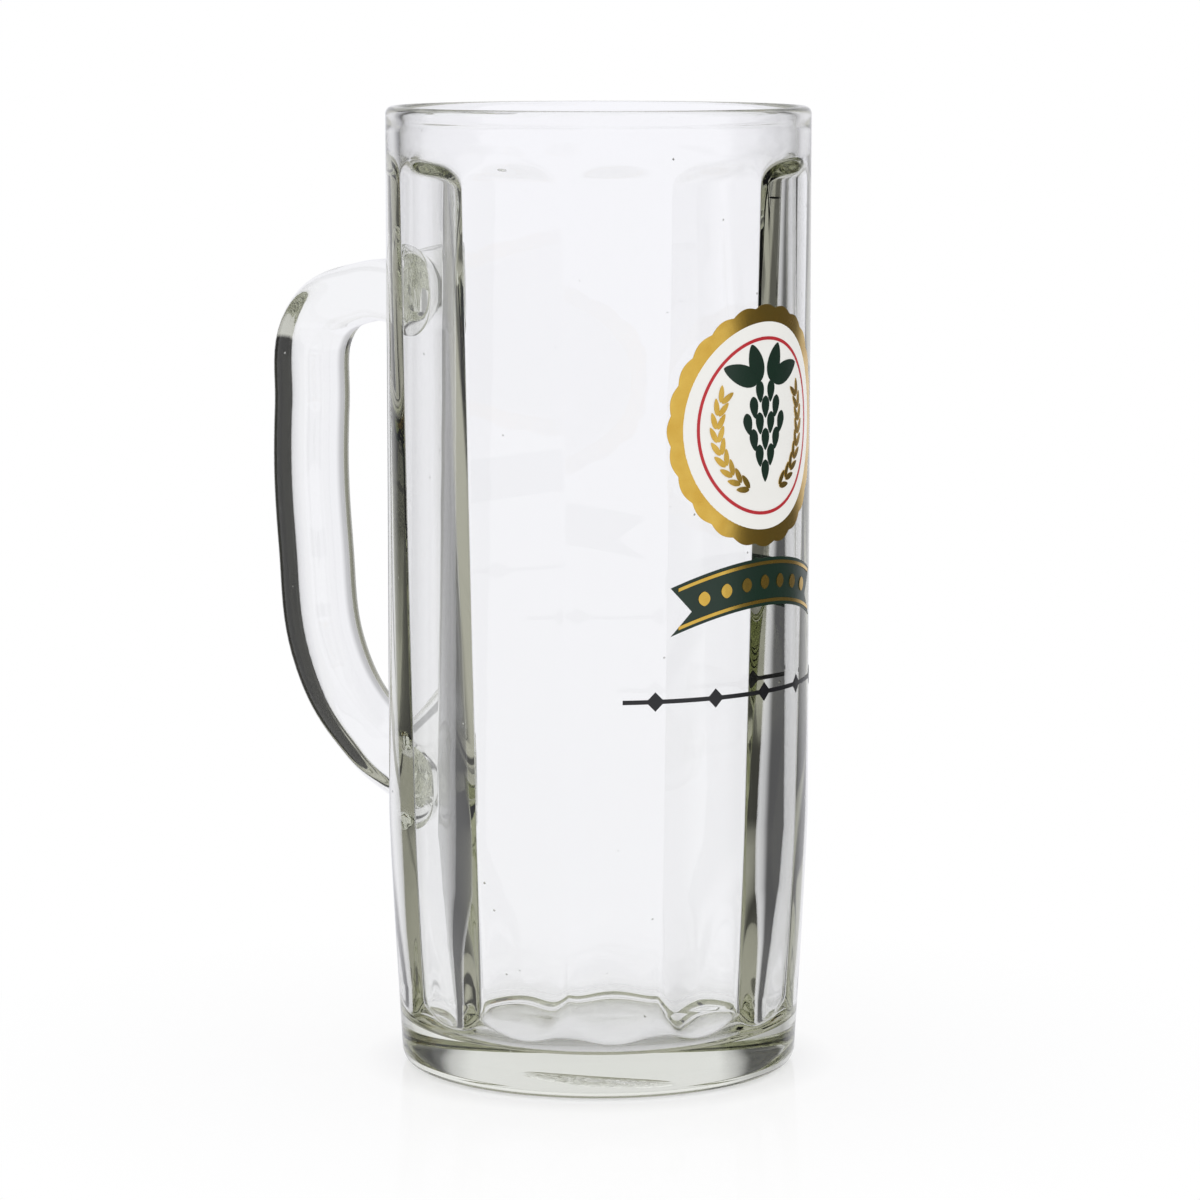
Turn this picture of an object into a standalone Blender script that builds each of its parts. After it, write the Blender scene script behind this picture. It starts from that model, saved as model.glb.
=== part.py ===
"""Tall glass beer mug, pressed panels inside, with a handle welded on and a fired-on print.

Metres, +Z up. The origin is on the mug's axis, in the plane of the ring it rests on.
The handle lies towards -X and the print faces +X. Run: blender --background --python part.py
"""

import math

import bmesh
import bpy

# Glass body, outside
MUG_HEIGHT = 0.1775
WALL_RADIUS = 0.039
BASE_RADIUS = 0.0366
TAPER_HEIGHT = 0.0468
TAPER_EASE = 1.15
HEEL_RADIUS = 0.0022
RECESS_RADIUS = 0.0282
RECESS_DEPTH = 0.0007

# Glass body, inside
LIP_RADIUS = 0.0014
BAND_WALL = 0.0024
BAND_DEPTH = 0.0087
FLOOR_HEIGHT = 0.0067
NOSE_RADIUS = 0.0080

# The flat panels that the plunger presses into the inside wall. They end in arches under the
# plain band and meet in grooves, which lie deeper behind the outer face towards the floor.
PANEL_COUNT = 12
GROOVE_INSET_FLOOR = 0.0093
ARCH_CAMBER = 0.0043
ARCH_BLEND = 0.0040

# Handle: the two welds, the reach of the grip and the section of the bar
WELD_TOP = 0.1411
WELD_BOTTOM = 0.0477
HANDLE_REACH = 0.0343
BAR_DEPTH = 0.0115
BAR_WIDTH = 0.0150
BAR_SQUARENESS_RATIO = 2.8
WELD_FLARE_RATIO = 1.5

# Fired-on print: a ring round a field, a ribbon below it and a thin rule
PRINT_CENTRE = 0.1211
RING_RADIUS = 0.0218
RING_WIDTH = 0.0031
RING_SCALLOPS = 24
SCALLOP_DEPTH = 0.0006
LINE_RADIUS = 0.0160
LINE_WIDTH = 0.0006
RIBBON_CENTRE = 0.0888
RIBBON_WIDTH = 0.042
RIBBON_HEIGHT = 0.0087
RIBBON_NOTCH = 0.0041
RIBBON_RISE = 0.0041
RULE_CENTRE = 0.0729
RULE_WIDTH = 0.0595
RULE_HEIGHT = 0.0008
LOZENGE_HEIGHT = 0.0035
LOZENGE_PITCH = 0.0119

# Clearances, layer thickness and fineness
WELD_GAP = 0.0003
PRINT_GAP = 0.0001
PRINT_THICKNESS = 0.0002
STEPS_PER_PANEL = 8
MERGE_DISTANCE = 0.00001

WALL_STEPS = PANEL_COUNT * STEPS_PER_PANEL
PANEL_TOP = MUG_HEIGHT - BAND_DEPTH
NOSE_HEIGHT = FLOOR_HEIGHT + NOSE_RADIUS


def clear_scene():
    for obj in list(bpy.data.objects):
        bpy.data.objects.remove(obj)


def new_collection(name):
    collection = bpy.data.collections.new(name)
    bpy.context.scene.collection.children.link(collection)
    return collection


def material(name, colour, roughness, metallic=0.0, transmission=0.0):
    made = bpy.data.materials.new(name)
    made.use_nodes = True
    shader = made.node_tree.nodes["Principled BSDF"]
    shader.inputs["Base Color"].default_value = (*colour, 1.0)
    shader.inputs["Roughness"].default_value = roughness
    shader.inputs["Metallic"].default_value = metallic
    shader.inputs["Transmission Weight"].default_value = transmission
    return made


def add_object(name, data, collection, finish=None):
    obj = bpy.data.objects.new(name, data)
    collection.objects.link(obj)
    if finish:
        data.materials.append(finish)
    return obj


def add_cutter(name, data, collection):
    cutter = add_object(name, data, collection)
    cutter.hide_render = True
    cutter.display_type = "WIRE"
    return cutter


def face_outwards(shape):
    """Turns all faces of a closed mesh outwards; a thin ring can fool the recalculation."""
    bmesh.ops.recalc_face_normals(shape, faces=shape.faces)
    if shape.calc_volume(signed=True) < 0.0:
        bmesh.ops.reverse_faces(shape, faces=shape.faces)


def evaluated_mesh(obj):
    """The object's mesh with its modifiers or bevel applied and loose caps welded."""
    bpy.context.view_layer.update()
    graph = bpy.context.evaluated_depsgraph_get()
    mesh = bpy.data.meshes.new_from_object(obj.evaluated_get(graph))
    shape = bmesh.new()
    shape.from_mesh(mesh)
    bmesh.ops.remove_doubles(shape, verts=shape.verts, dist=MERGE_DISTANCE)
    face_outwards(shape)
    shape.to_mesh(mesh)
    shape.free()
    return mesh


def turned_mesh(name, profile):
    """Turns (radius, height) points round Z; the outer side runs from top to bottom."""
    mesh = bpy.data.meshes.new(name)
    points = [(radius, 0.0, height) for radius, height in profile]
    mesh.from_pydata(points, [(i, i + 1) for i in range(len(points) - 1)], [])
    guide = bpy.data.objects.new(name, mesh)
    bpy.context.scene.collection.objects.link(guide)
    screw = guide.modifiers.new("turn", "SCREW")
    screw.steps = WALL_STEPS
    screw.render_steps = WALL_STEPS
    screw.use_merge_vertices = True
    screw.merge_threshold = MERGE_DISTANCE
    turned = evaluated_mesh(guide)
    bpy.data.objects.remove(guide)
    return turned


def arc(centre, radius, start, end, steps):
    """Points on an arc of a (radius, height) profile, with its angles in degrees."""
    angles = [math.radians(start + (end - start) * i / steps) for i in range(steps + 1)]
    return [(centre[0] + radius * math.cos(a), centre[1] + radius * math.sin(a)) for a in angles]


def spaced(start, end, steps):
    return [start + (end - start) * i / steps for i in range(steps + 1)]


def smooth_step(value):
    t = min(max(value, 0.0), 1.0)
    return t * t * (3.0 - 2.0 * t)


def outer_radius(height):
    """Straight wall above, drawn in towards the heel below."""
    fall = max(0.0, 1.0 - height / TAPER_HEIGHT)
    return WALL_RADIUS - (WALL_RADIUS - BASE_RADIUS) * fall**TAPER_EASE


def groove_radius(height):
    """Inside radius along a groove: the plunger's cone, with its nose rounded towards the floor."""
    down = (PANEL_TOP - height) / (PANEL_TOP - NOSE_HEIGHT)
    inset = BAND_WALL + (GROOVE_INSET_FLOOR - BAND_WALL) * min(max(down, 0.0), 1.0)
    drop = max(0.0, NOSE_HEIGHT - height)
    return WALL_RADIUS - inset - NOSE_RADIUS + math.sqrt(NOSE_RADIUS**2 - drop**2)


def inner_radius(angle, height):
    """Inside wall: flats between the grooves, with arched tops under the plain band."""
    half_pitch = math.pi / PANEL_COUNT
    across = abs((angle / half_pitch) % 2.0 - 1.0)
    arch_top = PANEL_TOP - ARCH_CAMBER * (1.0 - (1.0 - across**3) ** (1.0 / 3.0))
    fade = smooth_step((arch_top - height) / ARCH_BLEND)
    flat = math.cos(half_pitch) / math.cos(across * half_pitch)
    panel = groove_radius(max(height, NOSE_HEIGHT)) * (1.0 + (flat - 1.0) * fade)
    return min(panel, groove_radius(height))


def body_profile():
    """From the middle of the floor up the inside, over the lip and down to the recess."""
    floor_radius = groove_radius(NOSE_HEIGHT) - NOSE_RADIUS
    band = WALL_RADIUS - BAND_WALL
    lip_centre = (WALL_RADIUS - LIP_RADIUS, MUG_HEIGHT - LIP_RADIUS)
    lip_inside = WALL_RADIUS - 2.0 * LIP_RADIUS
    arch_foot = PANEL_TOP - ARCH_CAMBER - ARCH_BLEND
    heel_centre = (BASE_RADIUS - HEEL_RADIUS, HEEL_RADIUS)
    profile = [(0.0, FLOOR_HEIGHT)]
    profile += arc((floor_radius, NOSE_HEIGHT), NOSE_RADIUS, -90, 0, 6)
    for height in spaced(NOSE_HEIGHT, arch_foot, 5)[1:]:
        profile.append((groove_radius(height), height))
    profile += [(band, height) for height in spaced(arch_foot, PANEL_TOP, 6)[1:]]
    profile.append((band, MUG_HEIGHT - 3.0 * LIP_RADIUS))
    profile.append(((band + lip_inside) / 2.0, MUG_HEIGHT - 2.0 * LIP_RADIUS))
    profile += arc(lip_centre, LIP_RADIUS, 180, 0, 6)
    profile += [(outer_radius(height), height) for height in spaced(TAPER_HEIGHT, HEEL_RADIUS, 6)]
    profile += arc(heel_centre, HEEL_RADIUS, 0, -90, 4)[1:]
    profile += [(RECESS_RADIUS + RECESS_DEPTH, 0.0)]
    profile += [(RECESS_RADIUS, RECESS_DEPTH)]
    profile += [(0.0, RECESS_DEPTH)]
    return profile


def press_panels(mesh):
    """Moves the turned inside wall to the panelled one, from the floor's edge to the plain band."""
    for vertex in mesh.vertices:
        x, y, height = vertex.co
        radius = math.hypot(x, y)
        panelled = FLOOR_HEIGHT + MERGE_DISTANCE < height < PANEL_TOP
        if panelled and radius < outer_radius(height) - LIP_RADIUS:
            factor = inner_radius(math.atan2(y, x), height) / radius
            vertex.co.x = x * factor
            vertex.co.y = y * factor


def make_body(collection, finish):
    mesh = turned_mesh("glass_body", body_profile())
    press_panels(mesh)
    body = add_object("glass_body", mesh, collection, finish)
    mesh.shade_smooth()
    mesh.set_sharp_from_angle(angle=math.radians(40))
    return body


def bar_section(cutters):
    """Closed section of the handle's bar: a rounded oblong, wider than it is deep."""
    curve = bpy.data.curves.new("bar_section", "CURVE")
    spline = curve.splines.new("POLY")
    count = 24
    spline.points.add(count - 1)
    spline.use_cyclic_u = True
    for i, point in enumerate(spline.points):
        angle = 2.0 * math.pi * i / count
        across = math.copysign(abs(math.cos(angle)) ** (2.0 / BAR_SQUARENESS_RATIO), math.cos(angle))
        along = math.copysign(abs(math.sin(angle)) ** (2.0 / BAR_SQUARENESS_RATIO), math.sin(angle))
        point.co = (across * BAR_DEPTH / 2.0, along * BAR_WIDTH / 2.0, 0.0, 1.0)
    return add_cutter("bar_section", curve, cutters)


def handle_route():
    """(distance out of the wall, height, swell) from the upper weld round to the lower one."""
    rise = WELD_TOP - WELD_BOTTOM
    reach = HANDLE_REACH
    return [
        (-0.16 * reach, WELD_TOP, WELD_FLARE_RATIO),
        (0.0, WELD_TOP, WELD_FLARE_RATIO),
        (0.20 * reach, WELD_TOP + 0.002 * rise, 1.08),
        (0.52 * reach, WELD_TOP + 0.002 * rise, 1.0),
        (0.91 * reach, WELD_TOP - 0.064 * rise, 1.0),
        (0.985 * reach, WELD_TOP - 0.245 * rise, 1.0),
        (0.965 * reach, WELD_TOP - 0.530 * rise, 1.0),
        (0.845 * reach, WELD_TOP - 0.772 * rise, 1.0),
        (0.50 * reach, WELD_TOP - 0.922 * rise, 1.02),
        (0.21 * reach, WELD_TOP - 0.977 * rise, 1.15),
        (0.0, WELD_BOTTOM, WELD_FLARE_RATIO),
        (-0.16 * reach, WELD_BOTTOM, WELD_FLARE_RATIO),
    ]


def make_handle(collection, cutters, finish):
    """Sweeps the bar along its route and trims both ends to the wall."""
    curve = bpy.data.curves.new("handle_route", "CURVE")
    curve.dimensions = "3D"
    curve.twist_mode = "Z_UP"
    curve.resolution_u = 4
    curve.bevel_mode = "OBJECT"
    curve.bevel_object = bar_section(cutters)
    curve.use_fill_caps = True
    route = handle_route()
    spline = curve.splines.new("BEZIER")
    spline.bezier_points.add(len(route) - 1)
    for point, (out, height, swell) in zip(spline.bezier_points, route):
        point.co = (-(WALL_RADIUS + out), height, 0.0)
        point.handle_left_type = "AUTO"
        point.handle_right_type = "AUTO"
        point.radius = swell
    guide = add_object("handle_route", curve, collection)
    guide.rotation_euler.x = math.pi / 2.0
    handle = add_object("handle", evaluated_mesh(guide), collection, finish)
    handle.matrix_world = guide.matrix_world
    bpy.data.objects.remove(guide)
    clearance = [(0.0, MUG_HEIGHT), (WALL_RADIUS + WELD_GAP, MUG_HEIGHT)]
    for height in spaced(TAPER_HEIGHT, HEEL_RADIUS, 6):
        clearance.append((outer_radius(height) + WELD_GAP, height))
    clearance.append((0.0, HEEL_RADIUS))
    trim = handle.modifiers.new("trim to wall", "BOOLEAN")
    trim.operation = "DIFFERENCE"
    trim.object = add_cutter("wall_clearance", turned_mesh("wall_clearance", clearance), cutters)
    handle.data.shade_smooth()
    handle.data.set_sharp_from_angle(angle=math.radians(50))
    return handle


def wrap_on_wall(mesh, layer):
    """Cuts a flat slab at the wall's facet edges and bends it round the wall."""
    shape = bmesh.new()
    shape.from_mesh(mesh)
    facet = 2.0 * math.pi / WALL_STEPS
    reach = max(abs(vertex.co.x) for vertex in shape.verts)
    last = math.floor(reach / (WALL_RADIUS * facet))
    for i in range(-last, last + 1):
        place = (i * facet * WALL_RADIUS, 0.0, 0.0)
        everything = shape.verts[:] + shape.edges[:] + shape.faces[:]
        bmesh.ops.bisect_plane(shape, geom=everything, plane_co=place, plane_no=(1.0, 0.0, 0.0))
    ground = WALL_RADIUS + PRINT_GAP + layer * (PRINT_THICKNESS + PRINT_GAP)
    for vertex in shape.verts:
        across, up, out = vertex.co
        angle = across / WALL_RADIUS
        radius = ground + PRINT_THICKNESS / 2.0 + out
        vertex.co = (radius * math.cos(angle), radius * math.sin(angle), up)
    face_outwards(shape)
    shape.to_mesh(mesh)
    shape.free()


def make_print(name, outlines, centre, layer, collection, finish):
    """One colour of the print, from closed flat outlines of (across, up) points."""
    curve = bpy.data.curves.new(name, "CURVE")
    curve.dimensions = "2D"
    curve.fill_mode = "BOTH"
    curve.extrude = PRINT_THICKNESS / 2.0
    for outline in outlines:
        spline = curve.splines.new("POLY")
        spline.points.add(len(outline) - 1)
        spline.use_cyclic_u = True
        for point, (across, up) in zip(spline.points, outline):
            point.co = (across, centre + up, 0.0, 1.0)
    guide = add_object(name, curve, collection)
    mesh = evaluated_mesh(guide)
    bpy.data.objects.remove(guide)
    wrap_on_wall(mesh, layer)
    return add_object(name, mesh, collection, finish)


def circle(radius, count, scallops=0, depth=0.0):
    """A circle, or one whose edge swells outwards into round scallops."""
    points = []
    for i in range(count):
        angle = 2.0 * math.pi * i / count
        edge = radius - depth * (1.0 - abs(math.cos(scallops * angle / 2.0)))
        points.append((edge * math.cos(angle), edge * math.sin(angle)))
    return points


def ribbon_outline():
    """A ribbon bowed upwards in its middle, with a notch in both ends."""
    half = RIBBON_WIDTH / 2.0
    steps = 12
    bow = [(x, RIBBON_RISE * (1.0 - (x / half) ** 2)) for x in spaced(-half, half, steps)]
    lower = [(x, y - RIBBON_HEIGHT / 2.0) for x, y in bow]
    upper = [(x, y + RIBBON_HEIGHT / 2.0) for x, y in reversed(bow)]
    return lower + [(half - RIBBON_NOTCH, 0.0)] + upper + [(RIBBON_NOTCH - half, 0.0)]


def rule_outline():
    """A thin level rule that swells into lozenges at an even pitch."""
    count = int(RULE_WIDTH / 2.0 / LOZENGE_PITCH)
    half_lozenge = LOZENGE_HEIGHT / 2.0
    upper = [(-RULE_WIDTH / 2.0, RULE_HEIGHT / 2.0)]
    for i in range(-count, count + 1):
        middle = i * LOZENGE_PITCH
        upper += [(middle - half_lozenge, RULE_HEIGHT / 2.0)]
        upper += [(middle, half_lozenge)]
        upper += [(middle + half_lozenge, RULE_HEIGHT / 2.0)]
    upper.append((RULE_WIDTH / 2.0, RULE_HEIGHT / 2.0))
    return upper + [(x, -y) for x, y in reversed(upper)]


def make_prints(collection):
    gold = material("gold_lustre", (0.62, 0.42, 0.08), 0.25, metallic=1.0)
    white = material("white_enamel", (0.82, 0.82, 0.80), 0.35)
    red = material("red_enamel", (0.55, 0.03, 0.03), 0.35)
    green = material("green_enamel", (0.01, 0.06, 0.03), 0.35)
    black = material("black_enamel", (0.01, 0.01, 0.012), 0.35)
    scalloped = circle(RING_RADIUS, RING_SCALLOPS * 4, RING_SCALLOPS, SCALLOP_DEPTH)
    field_radius = RING_RADIUS - RING_WIDTH
    ring = [scalloped, circle(field_radius + PRINT_GAP, 48)]
    line = [circle(LINE_RADIUS, 48), circle(LINE_RADIUS - LINE_WIDTH, 48)]
    make_print("print_gold_ring", ring, PRINT_CENTRE, 0, collection, gold)
    make_print("print_white_field", [circle(field_radius, 48)], PRINT_CENTRE, 0, collection, white)
    make_print("print_red_line", line, PRINT_CENTRE, 1, collection, red)
    make_print("print_green_ribbon", [ribbon_outline()], RIBBON_CENTRE, 0, collection, green)
    make_print("print_black_rule", [rule_outline()], RULE_CENTRE, 0, collection, black)


clear_scene()
parts = new_collection("beer_mug")
helpers = new_collection("cutters")
clear_glass = material("clear_glass", (0.93, 0.95, 0.91), 0.02, transmission=1.0)
handle_glass = material("handle_glass", (0.93, 0.95, 0.91), 0.02, transmission=1.0)
make_body(parts, clear_glass)
make_handle(parts, helpers, handle_glass)
make_prints(parts)
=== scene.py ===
"""Half-litre beer mug of pressed glass with a welded handle and a fired-on print.

Sizes are in metres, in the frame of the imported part.
"""

import math

import bmesh
import bpy
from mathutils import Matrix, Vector
from mathutils.geometry import interpolate_bezier


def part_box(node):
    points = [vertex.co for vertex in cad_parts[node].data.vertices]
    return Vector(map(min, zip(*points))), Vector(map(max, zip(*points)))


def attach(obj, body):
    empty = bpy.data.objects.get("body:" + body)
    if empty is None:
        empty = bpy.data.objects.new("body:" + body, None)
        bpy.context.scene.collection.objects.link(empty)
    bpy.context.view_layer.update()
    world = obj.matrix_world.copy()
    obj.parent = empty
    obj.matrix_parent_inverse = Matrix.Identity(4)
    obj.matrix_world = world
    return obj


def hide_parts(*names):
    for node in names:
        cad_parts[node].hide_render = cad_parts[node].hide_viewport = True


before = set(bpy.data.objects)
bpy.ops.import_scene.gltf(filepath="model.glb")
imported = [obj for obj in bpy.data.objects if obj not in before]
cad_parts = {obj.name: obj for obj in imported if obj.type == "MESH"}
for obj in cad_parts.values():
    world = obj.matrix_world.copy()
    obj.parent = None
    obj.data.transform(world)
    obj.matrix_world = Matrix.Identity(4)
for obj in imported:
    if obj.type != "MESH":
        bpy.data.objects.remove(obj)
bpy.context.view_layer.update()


# Glass body: the tall vessel of soda-lime glass, pressed in an iron mould with a plunger.
# The mould leaves the outside plain; the plunger leaves twelve flat panels with arched tops that
# meet in grooves and swell at their feet, and its draft thickens the wall towards the floor.
body_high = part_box("glass_body")[1]
wall_radius = body_high.x
mug_height = body_high.z
base_radius = 0.0366
taper_height = 0.0468
taper_ease = 1.15
heel_radius = 0.0022
recess_radius = 0.0282
recess_depth = 0.0007
lip_radius = 0.0014
lip_ease_radii = 3.5
band_wall = 0.0024
band_height = 0.0087
panel_top = mug_height - band_height
floor_height = 0.0067
nose_radius = 0.0080
nose_height = floor_height + nose_radius
nose_blend = 0.0004
panel_count = 12
groove_inset_floor = 0.0093
arch_camber = 0.0043
arch_blend = 0.0040
foot_rise = 0.016
foot_swell = 1.0
foot_rounding = 0.6
steps_per_panel = 50
nose_steps = 24
flat_steps = 14
arch_steps = 30
band_steps = 3
lip_ease_steps = 10
lip_steps = 18
side_steps = 8
taper_steps = 18
heel_steps = 10
sharp_angle = math.radians(50.0)
merge_distance = 0.0000002


def smooth_step(value):
    """Eases a share of the way from 0 to 1, level at both ends."""
    t = min(max(value, 0.0), 1.0)
    return t * t * (3.0 - 2.0 * t)


def spaced(start, end, steps):
    """Evenly spaced values from start to end, both included."""
    return [start + (end - start) * i / steps for i in range(steps + 1)]


def arc(middle_radius, middle_height, radius, start, end, steps):
    """Points (radius, height) on an arc of a turned profile, with its angles in degrees."""
    points = []
    for degrees in spaced(start, end, steps):
        angle = math.radians(degrees)
        out = middle_radius + radius * math.cos(angle)
        points.append((out, middle_height + radius * math.sin(angle)))
    return points


def outer_radius(height):
    """Straight wall above, drawn in towards the heel below."""
    fall = max(0.0, 1.0 - height / taper_height)
    return wall_radius - (wall_radius - base_radius) * fall**taper_ease


def groove_radius(height):
    """Inside radius along a groove: the plunger's cone, with its nose rounded towards the floor."""
    down = (panel_top - height) / (panel_top - nose_height)
    cone = wall_radius - band_wall - (groove_inset_floor - band_wall) * min(max(down, 0.0), 1.0)
    drop = max(0.0, nose_height - height)
    return cone - nose_radius + math.sqrt(nose_radius**2 - drop**2)


def inner_radius(angle, height):
    """Inside wall: flats cut into the plunger's cone, with arched tops under the plain band."""
    half_pitch = math.pi / panel_count
    across = abs(((angle / half_pitch) % 2.0) - 1.0)
    arch_top = panel_top - arch_camber * (1.0 - (1.0 - across**3) ** (1.0 / 3.0))
    fade = smooth_step((arch_top - height) / arch_blend)
    foot = 1.0 - smooth_step((height - nose_height) / foot_rise)
    thickest = 1.0 - math.cos(half_pitch)
    flat = (1.0 - math.cos(half_pitch) / math.cos(across * half_pitch)) / thickest
    swell = max(flat, 0.0) ** (1.0 + foot_rounding * foot) * thickest * (1.0 + foot_swell * foot)
    panel = groove_radius(max(height, nose_height)) * (1.0 - swell * fade)
    turned = groove_radius(height)
    blend = nose_blend * smooth_step((2.0 * nose_height - height) / nose_height)
    apart = math.hypot(panel - turned, blend)
    return (panel + turned - apart) / 2.0


def linear(hex_colour):
    """A colour socket's value from an sRGB hex colour."""
    channels = [int(hex_colour[i : i + 2], 16) / 255.0 for i in (1, 3, 5)]
    return [c / 12.92 if c <= 0.04045 else ((c + 0.055) / 1.055) ** 2.4 for c in channels] + [1.0]


def add_node(tree, kind, values, **settings):
    """Adds a node with its settings; values fill its sockets or link them to other outputs.

    A Mix node's two colours are its sockets 6 and 7.
    """
    node = tree.nodes.new(kind)
    for name, setting in settings.items():
        setattr(node, name, setting)
    for socket, value in values.items():
        if isinstance(value, bpy.types.NodeSocket):
            tree.links.new(value, node.inputs[socket])
        else:
            node.inputs[socket].default_value = value
    return node


def new_piece(name, shape, material, node):
    """Ends a bmesh as a piece at the origin that rides on the mug, and replaces a node if named."""
    mesh = bpy.data.meshes.new(name)
    shape.to_mesh(mesh)
    shape.free()
    mesh.shade_smooth()
    mesh.set_sharp_from_angle(angle=sharp_angle)
    mesh.materials.append(material)
    piece = bpy.data.objects.new(name, mesh)
    bpy.context.scene.collection.objects.link(piece)
    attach(piece, "root")
    if node:
        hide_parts(node)


def close_shell(shape):
    """Merges seams and poles and turns the faces of a closed mesh outwards."""
    bmesh.ops.remove_doubles(shape, verts=shape.verts, dist=merge_distance)
    bmesh.ops.recalc_face_normals(shape, faces=shape.faces)
    if shape.calc_volume(signed=True) < 0.0:
        bmesh.ops.reverse_faces(shape, faces=shape.faces)


wave_length = 0.014
wave_height = 0.00003
seed_spacing = 0.0075
seed_radius = 0.00022
seed_height = 1.5 * seed_radius
shear_height = 0.0036
shear_turn = math.radians(40.0)
shear_tilt = math.radians(4.0)
shear_place = (
    base_radius * math.sin(shear_turn),
    -base_radius * math.cos(shear_turn),
    shear_height,
)
shear_size = (0.0150, 0.0080, 0.0010)
shear_folds = 5.0
shear_depth = 0.0008


def pressed_glass(name):
    """Soda-lime glass, fire-polished: clear, olive in depth, and faintly wavy from the mould.

    It holds a few seeds, which are small bubbles, and the shears that cut the hot gob of glass
    leave a ragged fold low on the base.
    """
    material = bpy.data.materials.new(name)
    material.use_nodes = True
    tree = material.node_tree
    shader = tree.nodes["Principled BSDF"]
    shader.inputs["Base Color"].default_value = linear("#FFFFFF")
    shader.inputs["Roughness"].default_value = 0.0
    shader.inputs["IOR"].default_value = 1.52
    shader.inputs["Transmission Weight"].default_value = 1.0
    place = add_node(tree, "ShaderNodeTexCoord", {})
    waves = add_node(tree, "ShaderNodeTexNoise", {
        "Vector": place.outputs["Object"],
        "Scale": 1.0 / wave_length,
        "Detail": 1.0,
    })
    wavy = add_node(tree, "ShaderNodeBump", {
        "Height": waves.outputs["Fac"],
        "Distance": wave_height,
    })
    cells = add_node(tree, "ShaderNodeTexVoronoi", {
        "Vector": place.outputs["Object"],
        "Scale": 1.0 / seed_spacing,
    })
    seeds = add_node(tree, "ShaderNodeMapRange", {
        "Value": cells.outputs["Distance"],
        "From Max": seed_radius / seed_spacing,
        "To Min": 1.0,
        "To Max": 0.0,
    })
    seedy = add_node(tree, "ShaderNodeBump", {
        "Height": seeds.outputs[0],
        "Distance": seed_height,
        "Normal": wavy.outputs["Normal"],
    })
    spot = add_node(tree, "ShaderNodeMapping", {
        "Vector": place.outputs["Object"],
        "Location": shear_place,
        "Rotation": (0.0, shear_tilt, shear_turn),
        "Scale": shear_size,
    }, vector_type="TEXTURE")
    patch = add_node(tree, "ShaderNodeTexGradient", {0: spot.outputs[0]}, gradient_type="SPHERICAL")
    folds = add_node(tree, "ShaderNodeTexNoise", {
        "Vector": spot.outputs[0],
        "Scale": shear_folds,
        "Detail": 4.0,
    })
    crease = add_node(tree, "ShaderNodeMath", {
        0: patch.outputs["Fac"],
        1: folds.outputs["Fac"],
    }, operation="MULTIPLY")
    marked = add_node(tree, "ShaderNodeBump", {
        "Height": crease.outputs[0],
        "Distance": shear_depth,
        "Normal": seedy.outputs["Normal"],
    })
    tree.links.new(marked.outputs["Normal"], shader.inputs["Normal"])
    absorption = add_node(tree, "ShaderNodeVolumeAbsorption", {
        "Color": linear("#DADDC4"),
        "Density": 8.0,
    })
    tree.links.new(absorption.outputs["Volume"], tree.nodes["Material Output"].inputs["Volume"])
    return material


floor_radius = groove_radius(nose_height) - nose_radius
band = wall_radius - band_wall
lip_inside = wall_radius - 2.0 * lip_radius
arch_foot = panel_top - arch_camber - arch_blend
lip_ease = mug_height - lip_ease_radii * lip_radius
lip_height = mug_height - lip_radius
heel_middle = base_radius - heel_radius
profile = [(floor_radius * t, floor_height) for t in (0.0, 0.25, 0.5, 0.75)]
profile += arc(floor_radius, nose_height, nose_radius, -90, 0, nose_steps)
for height in spaced(nose_height, arch_foot, flat_steps)[1:]:
    profile.append((groove_radius(height), height))
profile += [(band, height) for height in spaced(arch_foot, panel_top, arch_steps)[1:]]
profile += [(band, height) for height in spaced(panel_top, lip_ease, band_steps)[1:]]
for height in spaced(lip_ease, lip_height, lip_ease_steps)[1:-1]:
    ease = smooth_step((height - lip_ease) / (lip_height - lip_ease))
    profile.append((band + (lip_inside - band) * ease, height))
profile += arc(wall_radius - lip_radius, lip_height, lip_radius, 180, 0, lip_steps)
profile += [(wall_radius, height) for height in spaced(lip_height, taper_height, side_steps)[1:]]
for height in spaced(taper_height, heel_radius, taper_steps)[1:]:
    profile.append((outer_radius(height), height))
profile += arc(heel_middle, heel_radius, heel_radius, 0, -90, heel_steps)[1:]
profile += [(recess_radius + 2.0 * recess_depth, 0.0)]
profile += [(recess_radius + recess_depth, 0.5 * recess_depth)]
profile += [(recess_radius * t, recess_depth) for t in (1.0, 0.9, 0.5, 0.0)]

shape = bmesh.new()
outline = [shape.verts.new((radius, 0.0, height)) for radius, height in profile]
edges = [shape.edges.new(pair) for pair in zip(outline, outline[1:])]
bmesh.ops.spin(
    shape, geom=outline + edges, cent=(0, 0, 0), axis=(0, 0, 1),
    angle=2.0 * math.pi, steps=panel_count * steps_per_panel, use_merge=True,
)
for vertex in shape.verts:
    x, y, height = vertex.co
    radius = math.hypot(x, y)
    inside = floor_radius + merge_distance < radius < outer_radius(height) - lip_radius
    if inside and floor_height < height < panel_top:
        factor = inner_radius(math.atan2(y, x), height) / radius
        vertex.co.x = x * factor
        vertex.co.y = y * factor
close_shell(shape)
body_glass = pressed_glass("pressed_soda_lime_glass")
new_piece("mug_body", shape, body_glass, "glass_body")


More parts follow.
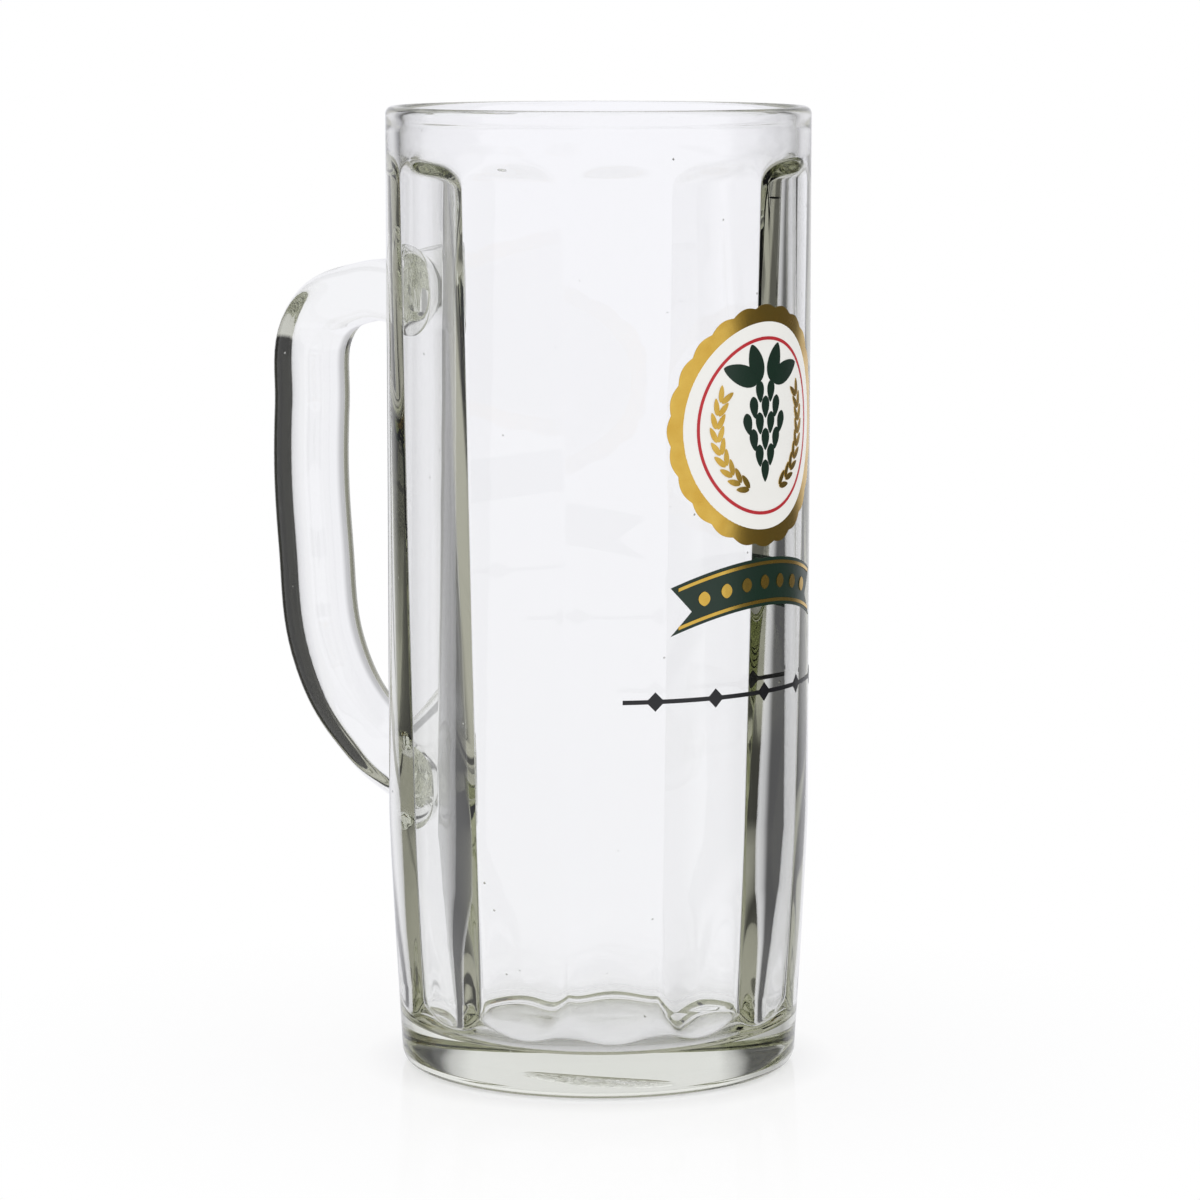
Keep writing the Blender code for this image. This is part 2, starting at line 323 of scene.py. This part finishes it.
# Handle: a solid bar of the same glass, pressed on its own and welded to the wall while hot.
# It leaves the upper weld level, bends down into the grip and slants back to the lower weld;
# at both welds the soft glass has spread into an oval pad, which is fused with the wall.
weld_top = 0.1411
weld_bottom = 0.0477
handle_reach = 0.0342
bar_depth = 0.0115
bar_width = 0.0150
bar_squareness = 2.8
weld_spread = 0.42
weld_spread_length = 0.007
bar_swell = 0.08
bar_swell_length = 0.018
weld_sink = 0.00004
steps_per_span = 10
bar_steps = 72

rise = weld_top - weld_bottom
route_stations = [
    (0.0, 0.0), (0.20, -0.002), (0.52, -0.002), (0.91, 0.064), (0.985, 0.245),
    (0.965, 0.530), (0.845, 0.772), (0.50, 0.922), (0.21, 0.977), (0.0, 1.0),
]
curve = bpy.data.curves.new("handle_route", "CURVE")
curve.dimensions = "3D"
spline = curve.splines.new("BEZIER")
spline.bezier_points.add(len(route_stations) - 1)
for point, (out, down) in zip(spline.bezier_points, route_stations):
    point.co = (-wall_radius - out * handle_reach, 0.0, weld_top - down * rise)
    point.handle_left_type = "AUTO"
    point.handle_right_type = "AUTO"
route_guide = bpy.data.objects.new("handle_route", curve)
bpy.context.scene.collection.objects.link(route_guide)
bpy.context.view_layer.update()
knots = spline.bezier_points
route = [knots[0].co.copy()]
for near, far in zip(knots, knots[1:]):
    span = (near.co, near.handle_right, far.handle_left, far.co)
    route += interpolate_bezier(*span, steps_per_span + 1)[1:]
bpy.data.objects.remove(route_guide)
bpy.data.curves.remove(curve)


def rounded(value):
    """One coordinate of the bar's section, a circle drawn out towards a rounded oblong."""
    return math.copysign(abs(value) ** (2.0 / bar_squareness), value)


def bar_point(station, angle):
    """A point of the bar's skin at a station of the route, on a ring square to the route."""
    before = route[max(station - 1, 0)]
    after = route[min(station + 1, len(route) - 1)]
    along = (after - before).normalized()
    if station in (0, len(route) - 1):
        along = Vector((math.copysign(1.0, along.x), 0.0, 0.0))
    across = Vector((along.z, 0.0, -along.x))
    out = -wall_radius - route[station].x
    near = max(0.0, 1.0 - out / weld_spread_length)
    swell = 1.0 + weld_spread * near**2 + bar_swell * max(0.0, 1.0 - out / bar_swell_length)
    depth = rounded(math.cos(angle)) * swell * bar_depth / 2.0
    width = rounded(math.sin(angle)) * swell * bar_width / 2.0
    return route[station] + across * depth + Vector((0.0, width, 0.0))


def weld_point(station, angle, spread):
    """A point of the weld's hidden face, which follows the wall just under its surface."""
    place = route[station].lerp(bar_point(station, angle), spread)
    radius = outer_radius(place.z) - weld_sink
    place.x = -math.sqrt(radius**2 - place.y**2)
    return place


weld_rings = (0.0, 0.3, 0.6, 0.85, 1.0)
last = len(route) - 1
rings = len(weld_rings) * 2 + last - 1
shape = bmesh.new()
bmesh.ops.create_grid(shape, x_segments=bar_steps, y_segments=rings - 1, size=0.5)
for vertex in shape.verts:
    angle = 2.0 * math.pi * round((vertex.co.x + 0.5) * bar_steps) / bar_steps
    ring = round((vertex.co.y + 0.5) * (rings - 1))
    if ring < len(weld_rings):
        vertex.co = weld_point(0, angle, weld_rings[ring])
    elif rings - 1 - ring < len(weld_rings):
        vertex.co = weld_point(last, angle, weld_rings[rings - 1 - ring])
    else:
        vertex.co = bar_point(ring - len(weld_rings) + 1, angle)
close_shell(shape)
handle_glass = pressed_glass("pressed_handle_glass")
new_piece("mug_handle", shape, handle_glass, "handle")


# White field: the ground of the printed medallion, a disc of opaque white enamel.
# Each colour of the print is screen-printed on the cold mug as a thin film and fired on, so it
# is fused with the glass: its back lies just under the wall's surface and shows through the wall.
medallion_height = 0.1211
field_radius = 0.0187
film = 0.00005
film_sink = 0.00003
cut_width = 0.001
field_steps = 120


def print_film(name, shape, layer, material, node):
    """Makes flat faces (across, up) into a thin film bent round the wall, facing +X."""
    reach = max(abs(vertex.co.x) for vertex in shape.verts)
    cuts = int(reach / cut_width)
    for cut in range(-cuts, cuts + 1):
        everything = shape.verts[:] + shape.edges[:] + shape.faces[:]
        place = (cut * cut_width, 0, 0)
        bmesh.ops.bisect_plane(shape, geom=everything, plane_co=place, plane_no=(1, 0, 0))
    bmesh.ops.solidify(shape, geom=shape.faces[:], thickness=film + film_sink)
    lowest = min(vertex.co.z for vertex in shape.verts)
    for vertex in shape.verts:
        across, up, out = vertex.co
        radius = wall_radius + layer * film - film_sink + out - lowest
        angle = across / wall_radius
        vertex.co = (radius * math.cos(angle), radius * math.sin(angle), up)
    close_shell(shape)
    new_piece(name, shape, material, node)


# The real screen has about ten threads to the millimetre, too fine to show, so it is drawn coarser.
enamel_cloud = 0.006
screen_thread = 0.0003
screen_relief = 0.000012


def fired_enamel(name, hex_colour, deeper_hex):
    """Lead-free glass enamel: an opaque, softly shining film, a little uneven from the screen."""
    material = bpy.data.materials.new(name)
    material.use_nodes = True
    tree = material.node_tree
    shader = tree.nodes["Principled BSDF"]
    place = add_node(tree, "ShaderNodeTexCoord", {})
    cloud = add_node(tree, "ShaderNodeTexNoise", {
        "Vector": place.outputs["Object"],
        "Scale": 1.0 / enamel_cloud,
        "Detail": 3.0,
    })
    colour = add_node(tree, "ShaderNodeMix", {
        "Factor": cloud.outputs["Fac"],
        6: linear(hex_colour),
        7: linear(deeper_hex),
    }, data_type="RGBA")
    tree.links.new(colour.outputs[2], shader.inputs["Base Color"])
    sheen = add_node(tree, "ShaderNodeMapRange", {
        "Value": cloud.outputs["Fac"],
        "To Min": 0.26,
        "To Max": 0.44,
    })
    tree.links.new(sheen.outputs[0], shader.inputs["Roughness"])
    screen = add_node(tree, "ShaderNodeTexVoronoi", {
        "Vector": place.outputs["Object"],
        "Scale": 1.0 / screen_thread,
    })
    bump = add_node(tree, "ShaderNodeBump", {
        "Height": screen.outputs["Distance"],
        "Distance": screen_relief,
    })
    tree.links.new(bump.outputs["Normal"], shader.inputs["Normal"])
    return material


shape = bmesh.new()
bmesh.ops.create_circle(shape, cap_ends=True, radius=field_radius, segments=field_steps)
bmesh.ops.translate(shape, verts=shape.verts, vec=(0.0, medallion_height, 0.0))
white_enamel = fired_enamel("fired_white_enamel", "#F4F3EF", "#ECEBE6")
print_film("print_white", shape, 0, white_enamel, "print_white_field")


# Gold ring: the scalloped border of the medallion, in bright gold lustre. The lustre is brushed
# or printed as a resin of gold and fired, which leaves a mirror film that shows brown where dark.
ring_radius = 0.0218
ring_scallops = 24
scallop_depth = 0.0006
ring_steps = 240
lustre_cloud = 0.004


def add_ring(shape, middle_height, outer, inner, scallops, depth):
    """A flat ring, bridged between two circles; scallops swell its outer edge."""
    edges = []
    for radius, swell in ((outer, depth), (inner, 0.0)):
        circle = bmesh.ops.create_circle(shape, radius=radius, segments=ring_steps)["verts"]
        for vertex in circle:
            angle = math.atan2(vertex.co.y, vertex.co.x)
            vertex.co *= 1.0 - swell / radius * (1.0 - abs(math.cos(scallops * angle / 2.0)))
            vertex.co.y += middle_height
        edges += list({edge for vertex in circle for edge in vertex.link_edges})
    bmesh.ops.bridge_loops(shape, edges=edges)


def gold_lustre_film(name):
    """Bright gold lustre: a mirror of warm gold, slightly mottled and rubbed at the mm scale."""
    material = bpy.data.materials.new(name)
    material.use_nodes = True
    tree = material.node_tree
    shader = tree.nodes["Principled BSDF"]
    shader.inputs["Metallic"].default_value = 1.0
    place = add_node(tree, "ShaderNodeTexCoord", {})
    cloud = add_node(tree, "ShaderNodeTexNoise", {
        "Vector": place.outputs["Object"],
        "Scale": 1.0 / lustre_cloud,
        "Detail": 4.0,
    })
    colour = add_node(tree, "ShaderNodeMix", {
        "Factor": cloud.outputs["Fac"],
        6: linear("#F2CF6B"),
        7: linear("#D3A43C"),
    }, data_type="RGBA")
    tree.links.new(colour.outputs[2], shader.inputs["Base Color"])
    rubbed = add_node(tree, "ShaderNodeMapRange", {
        "Value": cloud.outputs["Fac"],
        "To Min": 0.12,
        "To Max": 0.34,
    })
    tree.links.new(rubbed.outputs[0], shader.inputs["Roughness"])
    return material


gold_lustre = gold_lustre_film("fired_gold_lustre")
shape = bmesh.new()
add_ring(shape, medallion_height, ring_radius, field_radius - film, ring_scallops, scallop_depth)
print_film("print_gold_border", shape, 0, gold_lustre, "print_gold_ring")


# Red line: a thin ring of red enamel inside the gold border. It is printed over the white field
# and fired on with it.
line_radius = 0.0160
line_width = 0.0006
shape = bmesh.new()
add_ring(shape, medallion_height, line_radius, line_radius - line_width, 0, 0.0)
red_enamel = fired_enamel("fired_red_enamel", "#C4202B", "#AE1823")
print_film("print_red", shape, 1, red_enamel, "print_red_line")


# Green ribbon: a bowed ribbon with notched ends under the medallion. It is dark green enamel,
# printed straight on the glass and fired on.
ribbon_height = 0.0888
ribbon_half = 0.021
ribbon_width = 0.0087
ribbon_notch = 0.0041
ribbon_rise = 0.0041
ribbon_steps = 84
ribbon_rows = 8


def add_stripe(shape, half, low, high, notch):
    """A stripe along the ribbon, bowed upwards in its middle and notched at its ends."""
    grid = bmesh.ops.create_grid(shape, x_segments=ribbon_steps, y_segments=ribbon_rows, size=0.5)
    for vertex in grid["verts"]:
        up = low + (high - low) * (vertex.co.y + 0.5)
        inwards = notch * (1.0 - abs(up) * 2.0 / ribbon_width) * abs(vertex.co.x) * 2.0
        across = vertex.co.x * 2.0 * half
        bow = ribbon_rise * (1.0 - (across / ribbon_half) ** 2)
        vertex.co.x = across - math.copysign(inwards, across)
        vertex.co.y = ribbon_height + bow + up
        vertex.co.z = 0.0


shape = bmesh.new()
add_stripe(shape, ribbon_half, -ribbon_width / 2.0, ribbon_width / 2.0, ribbon_notch)
green_enamel = fired_enamel("fired_green_enamel", "#0E2E1E", "#0A2518")
print_film("print_green", shape, 0, green_enamel, "print_green_ribbon")


# Black rule: a thin level line that swells into lozenges at an even pitch. It is black enamel,
# printed straight on the glass under the ribbon and fired on.
rule_height = 0.0729
rule_half = 0.02975
rule_width = 0.0008
lozenge_half = 0.00175
lozenge_pitch = 0.0119
rule_steps = 340
shape = bmesh.new()
bmesh.ops.create_grid(shape, x_segments=rule_steps, y_segments=2, size=0.5)
for vertex in shape.verts:
    across = vertex.co.x * 2.0 * rule_half
    from_lozenge = abs((across + lozenge_pitch / 2.0) % lozenge_pitch - lozenge_pitch / 2.0)
    half = max(rule_width / 2.0, lozenge_half - from_lozenge)
    vertex.co = (across, rule_height + vertex.co.y * 2.0 * half, 0.0)
black_enamel = fired_enamel("fired_black_enamel", "#17171A", "#0F0F12")
print_film("print_black", shape, 0, black_enamel, "print_black_rule")


# Hop cone: the picture in the medallion, rows of pointed bracts under four leaves. It is the
# ribbon's green enamel, printed over the white field.
hop_rows = [(0.0062, 2), (0.0034, 3), (0.0005, 4), (-0.0024, 3), (-0.0053, 2), (-0.0081, 1)]
bract_pitch = 0.0031
bract_length = 0.0040
bract_width = 0.0028
bract_lean = 0.16
bract_taper = 0.5
leaf_width = 0.0046
leaf_taper = 0.35
# Each leaf of one side: its place out and up from the middle, its length and its turn.
leaves = [(0.0062, 0.0094, 0.0088, 1.25), (0.0026, 0.0114, 0.00704, 0.35)]
blade_steps = 28
blade_fullness = 1.3


def add_blade(shape, middle, length, width, turn, blunt):
    """A flat pointed blade with its tip towards its own +Y: a bract, a leaf or a grain."""
    blade = bmesh.ops.create_circle(shape, cap_ends=True, radius=1.0, segments=blade_steps)["verts"]
    for vertex in blade:
        x, y = vertex.co.x, vertex.co.y
        taper = 1.0 - blunt * (y + 1.0) / 2.0
        x = math.copysign(abs(x) ** blade_fullness, x) * taper * width / 2.0
        y = y * length / 2.0
        vertex.co.x = middle[0] + x * math.cos(turn) - y * math.sin(turn)
        vertex.co.y = middle[1] + x * math.sin(turn) + y * math.cos(turn)


shape = bmesh.new()
for up, count in hop_rows:
    for i in range(count):
        across = (i - (count - 1) / 2.0) * bract_pitch
        middle = (across, medallion_height + up)
        lean = math.pi - across / bract_pitch * bract_lean
        add_blade(shape, middle, bract_length, bract_width, lean, bract_taper)
for side in (-1, 1):
    for out, up, length, turn in leaves:
        middle = (side * out, medallion_height + up)
        add_blade(shape, middle, length, leaf_width, -side * turn, leaf_taper)
print_film("print_green_hop", shape, 1, green_enamel, None)


# Gold barley and edging: two ears of barley round the hop cone, and thin lines and dots along
# the ribbon, in the same gold lustre, printed last.
ear_radius = 0.0118
ear_start = math.radians(-62.0)
grain_count = 9
grain_pitch = math.radians(11.5)
grain_length = 0.0031
grain_width = 0.0013
grain_taper = 0.3
# Each row of an ear: its place outwards from the stalk, and how far its grains lean.
grain_rows = [(-0.0008, 0.42), (0.0008, -0.42)]
edging_low = 0.36 * ribbon_width
edging_high = 0.43 * ribbon_width
edging_half = 0.93 * ribbon_half
dots_each_side = 3
dot_pitch = 0.0048
dot_height = 0.0026
dot_width = 0.0024
shape = bmesh.new()
for side in (-1, 1):
    for i in range(grain_count):
        angle = ear_start + grain_pitch * i
        for row, lean in grain_rows:
            across = side * (ear_radius + row) * math.cos(angle)
            up = medallion_height + (ear_radius + row) * math.sin(angle)
            turn = side * (angle + lean)
            add_blade(shape, (across, up), grain_length, grain_width, turn, grain_taper)
add_stripe(shape, edging_half, -edging_high, -edging_low, 0.0)
add_stripe(shape, edging_half, edging_low, edging_high, 0.0)
for i in range(-dots_each_side, dots_each_side + 1):
    across = i * dot_pitch
    up = ribbon_height + ribbon_rise * (1.0 - (across / ribbon_half) ** 2)
    add_blade(shape, (across, up), dot_height, dot_width, 0.0, 0.0)
print_film("print_gold_barley", shape, 2, gold_lustre, None)


# Floor and backdrop: a sheet of white acrylic under the mug, with a faint mirror image of its
# base. The list white_share gives how far it has run out into plain white at each radius.
stage_radius = 0.34
stage_drop = 0.0002
stage_steps = 128
white_share = [
    (0.0, 0.6), (0.022, 0.5), (0.031, 0.1), (0.036, 0.6),
    (0.045, 0.85), (0.13, 1.0), (stage_radius, 1.0),
]
shape = bmesh.new()
bmesh.ops.create_circle(shape, cap_ends=True, radius=stage_radius, segments=stage_steps)
for vertex in shape.verts:
    vertex.co.z = -stage_drop
mesh = bpy.data.meshes.new("studio_floor")
shape.to_mesh(mesh)
shape.free()
studio_floor = bpy.data.objects.new("studio_floor", mesh)
bpy.context.scene.collection.objects.link(studio_floor)
acrylic = bpy.data.materials.new("white_acrylic_sheet")
acrylic.use_nodes = True
tree = acrylic.node_tree
shader = tree.nodes["Principled BSDF"]
shader.inputs["Base Color"].default_value = linear("#F4F4F4")
shader.inputs["Roughness"].default_value = 0.03
path = add_node(tree, "ShaderNodeLightPath", {})
place = add_node(tree, "ShaderNodeTexCoord", {})
distance = add_node(tree, "ShaderNodeVectorMath", {
    0: place.outputs["Object"],
}, operation="LENGTH")
out = add_node(tree, "ShaderNodeMapRange", {
    "Value": distance.outputs["Value"],
    "From Max": stage_radius,
})
fade = add_node(tree, "ShaderNodeValToRGB", {0: out.outputs[0]})
stops = fade.color_ramp.elements
while len(stops) < len(white_share):
    stops.new(0.5)
for stop, (radius, share) in zip(stops, white_share):
    stop.position = radius / stage_radius
    stop.color = (share, share, share, 1.0)
white = add_node(tree, "ShaderNodeEmission", {})
unseen = add_node(tree, "ShaderNodeBsdfTransparent", {})
beyond = add_node(tree, "ShaderNodeMixShader", {
    0: path.outputs["Is Camera Ray"],
    1: unseen.outputs[0],
    2: white.outputs[0],
})
blend = add_node(tree, "ShaderNodeMixShader", {
    0: fade.outputs[0],
    1: shader.outputs[0],
    2: beyond.outputs[0],
})
tree.links.new(blend.outputs[0], tree.nodes["Material Output"].inputs["Surface"])
mesh.materials.append(acrylic)


# Studio: white all round, which lights the print and is all that the camera sees past the mug.
# The glass shows it with flags at both sides of the backdrop, as a photographer edges glass, and
# light turned about inside the glass comes from a dark room with softboxes and a lit table.
#
# Each list of (degrees, level) is the studio as one kind of ray sees it. By the turn from the
# middle of the backdrop, clear_view shows through the body, bar_view through the handle or one
# wall, mirror_view after one reflection or past a third wall, and trapped_view after two or
# three reflections. By height, table_view lightens the last two, and steep_view shows after more.
photo_azimuth = math.radians(40.0)
clear_view = [
    (-180, 1.0), (-50, 1.0), (-46, 0.42), (-27, 0.42), (-24, 1.0),
    (40, 1.0), (44, 0.04), (60, 0.04), (64, 1.0), (180, 1.0),
]
bar_view = [
    (-180, 1.0), (-75, 1.0), (-60, 0.6), (-42, 0.6), (-30, 1.0),
    (60, 1.0), (75, 0.5), (100, 0.5), (115, 1.0), (180, 1.0),
]
mirror_view = [
    (-180, 0.9), (-70, 0.9), (-62, 0.1), (-40, 0.1), (-34, 0.6), (-28, 0.9),
    (30, 0.9), (38, 0.6), (44, 0.1), (98, 0.1), (106, 0.9), (180, 0.9),
]
trapped_view = [
    (-180, 0.02), (-76, 0.02), (-68, 0.45), (-46, 0.45), (-40, 0.02), (-28, 0.02), (-24, 0.4),
    (36, 0.4), (42, 0.12), (60, 0.12), (64, 0.3), (150, 0.3), (155, 0.02), (180, 0.02),
]
table_view = [(-180, 0.65), (-28, 0.65), (-24, 0.0), (180, 0.0)]
steep_view = [
    (-180, 0.5), (-25, 0.5), (-21, 0.06), (-12, 0.06), (-8, 0.4), (6, 0.55), (60, 0.55), (180, 0.4),
]
world = bpy.data.worlds.new("white_studio")
bpy.context.scene.world = world
world.use_nodes = True
tree = world.node_tree
place = add_node(tree, "ShaderNodeTexCoord", {})
turned = add_node(tree, "ShaderNodeMapping", {
    "Vector": place.outputs["Generated"],
    "Rotation": (0.0, 0.0, -photo_azimuth),
})
axes = add_node(tree, "ShaderNodeSeparateXYZ", {0: turned.outputs[0]})
turn = add_node(tree, "ShaderNodeMath", {
    0: axes.outputs["X"],
    1: axes.outputs["Y"],
}, operation="ARCTAN2")
round_mug = add_node(tree, "ShaderNodeMapRange", {
    "Value": turn.outputs[0],
    "From Min": -math.pi,
    "From Max": math.pi,
})
lift = add_node(tree, "ShaderNodeMath", {0: axes.outputs["Z"]}, operation="ARCSINE")
climb = add_node(tree, "ShaderNodeMapRange", {
    "Value": lift.outputs[0],
    "From Min": -math.pi,
    "From Max": math.pi,
})


def panorama(levels, tint, way):
    """Light round the mug or up the room, from stops of (degrees, level) and a tint."""
    ramp = add_node(tree, "ShaderNodeValToRGB", {0: way.outputs[0]})
    stops = ramp.color_ramp.elements
    while len(stops) < len(levels):
        stops.new(0.5)
    for stop, (angle, level) in zip(stops, levels):
        stop.position = (angle + 180.0) / 360.0
        stop.color = [level * channel for channel in linear(tint)[:3]] + [1.0]
    return ramp.outputs["Color"]


path = add_node(tree, "ShaderNodeLightPath", {})
crossed = path.outputs["Transmission Depth"]
turned_back = path.outputs["Glossy Depth"]
entered = add_node(tree, "ShaderNodeMath", {0: crossed, 1: 0.5}, operation="GREATER_THAN")
left_soon = add_node(tree, "ShaderNodeMath", {0: crossed, 1: 2.5}, operation="LESS_THAN")
in_wall = add_node(tree, "ShaderNodeMath", {0: crossed, 1: 4.5}, operation="LESS_THAN")
once = add_node(tree, "ShaderNodeMath", {0: turned_back, 1: 0.5}, operation="GREATER_THAN")
twice = add_node(tree, "ShaderNodeMath", {0: turned_back, 1: 1.5}, operation="GREATER_THAN")
often = add_node(tree, "ShaderNodeMath", {0: turned_back, 1: 3.5}, operation="GREATER_THAN")
bar_only = add_node(tree, "ShaderNodeMath", {
    0: entered.outputs[0],
    1: left_soon.outputs[0],
}, operation="MULTIPLY")
trapped = add_node(tree, "ShaderNodeMath", {
    0: twice.outputs[0],
    1: in_wall.outputs[0],
}, operation="MULTIPLY")
lost = add_node(tree, "ShaderNodeMath", {
    0: often.outputs[0],
    1: in_wall.outputs[0],
}, operation="MULTIPLY")
through = add_node(tree, "ShaderNodeMix", {
    "Factor": bar_only.outputs[0],
    6: panorama(clear_view, "#FAFAFF", round_mug),
    7: panorama(bar_view, "#FAFAFF", round_mug),
}, data_type="RGBA")
level = add_node(tree, "ShaderNodeMix", {
    "Factor": trapped.outputs[0],
    6: panorama(mirror_view, "#FAFAFF", round_mug),
    7: panorama(trapped_view, "#F2F1DF", round_mug),
}, data_type="RGBA")
lowered = add_node(tree, "ShaderNodeMix", {
    "Factor": 1.0,
    6: level.outputs[2],
    7: panorama(table_view, "#F6F6F2", climb),
}, data_type="RGBA", blend_type="LIGHTEN")
mirrored = add_node(tree, "ShaderNodeMix", {
    "Factor": lost.outputs[0],
    6: lowered.outputs[2],
    7: panorama(steep_view, "#F2F1E6", climb),
}, data_type="RGBA")
seen = add_node(tree, "ShaderNodeMix", {
    "Factor": once.outputs[0],
    6: through.outputs[2],
    7: mirrored.outputs[2],
}, data_type="RGBA")
plain = add_node(tree, "ShaderNodeMath", {
    0: path.outputs["Is Camera Ray"],
    1: path.outputs["Diffuse Depth"],
}, operation="ADD")
lit = add_node(tree, "ShaderNodeMix", {
    "Factor": plain.outputs[0],
    6: seen.outputs[2],
    7: linear("#FFFFFF"),
}, data_type="RGBA")
tree.links.new(lit.outputs[2], tree.nodes["Background"].inputs["Color"])
bpy.context.scene.view_settings.view_transform = "Standard"

# Light that is caught in the thick wall and the handle turns many times before it leaves.
turns_in_glass = 24
bpy.context.scene.cycles.max_bounces = turns_in_glass + 8
bpy.context.scene.cycles.glossy_bounces = turns_in_glass
bpy.context.scene.cycles.transmission_bounces = turns_in_glass


# Camera: a long lens a little above the rim, turned so that the handle lies on the left.
camera_distance = 0.8596
camera_height = 0.1991
camera_pitch = math.radians(7.478)
camera_yaw = math.radians(0.018393)
lens = bpy.data.cameras.new("photo_camera")
lens.sensor_width = 36.0
lens.lens = 140.18
lens.clip_start = 0.01
camera = bpy.data.objects.new("photo_camera", lens)
bpy.context.scene.collection.objects.link(camera)
camera.location = (
    math.sin(photo_azimuth) * camera_distance,
    -math.cos(photo_azimuth) * camera_distance,
    camera_height,
)
camera.rotation_euler = (math.pi / 2.0 - camera_pitch, 0.0, photo_azimuth - camera_yaw)
bpy.context.scene.camera = camera
